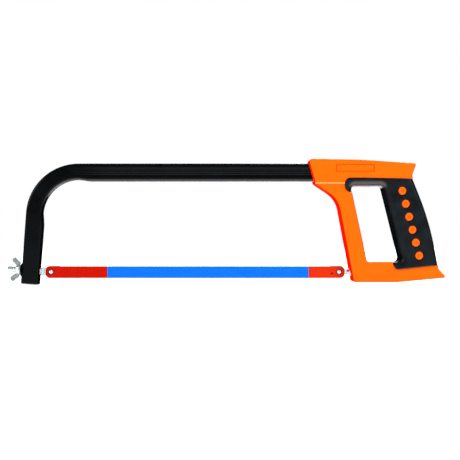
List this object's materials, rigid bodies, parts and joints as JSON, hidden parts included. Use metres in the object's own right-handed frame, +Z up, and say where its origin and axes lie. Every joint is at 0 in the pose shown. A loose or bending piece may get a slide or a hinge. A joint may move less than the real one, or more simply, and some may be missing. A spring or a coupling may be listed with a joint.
{
  "type": "hacksaw",
  "caption": "Hand hacksaw: bent rectangular-tube bow, closed D handle with a soft dotted grip, wing-nut tension stud and a replaceable pinned blade.",
  "frame": {"origin": "bottom centre of the upright saw", "axes": "+X along the blade towards the handle, +Y through the thickness to the far side, +Z up from the blade to the bow"},
  "size_m": [0.4526, 0.0302, 0.1301],
  "materials": {
    "blade_red_blue": "satin, blue middle and red ends",
    "black_paint": "gloss powder coat",
    "black_plastic": "satin",
    "zinc": "bright zinc plate",
    "steel_pin": "polished",
    "black_screw": "black oxide",
    "orange_plastic": "semi-gloss moulded",
    "black_rubber": "fine matt moulded"
  },
  "bodies": {
    "frame": {"frame_tube": "black_paint", "limb_end_plug": "black_plastic", "stud_guide_block": "zinc", "saddle_washer": "black_paint", "thrust_washer": "zinc", "rear_stud": "zinc", "rear_blade_pin": "steel_pin", "anchor_bush": "zinc", "anchor_washer": "zinc", "anchor_nut": "zinc", "handle_shell_near": "orange_plastic", "handle_shell_far": "orange_plastic", "grip_near": "black_rubber", "grip_far": "black_rubber", "tube_screws": "black_screw", "handle_screws": "black_screw"},
    "stud": {"tension_stud": "zinc", "front_blade_pin": "steel_pin"},
    "nut": {"wing_nut": "zinc"},
    "blade": {"blade": "blade_red_blue"}
  },
  "joints": [
    {"name": "wing_nut_spin", "type": "hinge", "parent": "frame", "child": "nut", "pos_m": [-0.18301, 0, 0.01319], "axis": [-0.9973, 0, 0.0732], "range_deg": [0, 360]},
    {"name": "tension_stud_slide", "type": "slide", "parent": "frame", "child": "stud", "axis": [0.9973, 0, -0.0732], "range_m": [0, 0.001]},
    {"name": "blade_lift_off", "type": "slide", "parent": "frame", "child": "blade", "axis": [0, -1, 0], "range_m": [0, 0.012]}
  ],
  "couplings": [
    {"joint": "wing_nut_spin", "follows": "tension_stud_slide", "rad_per_m": 6283.2}
  ]
}
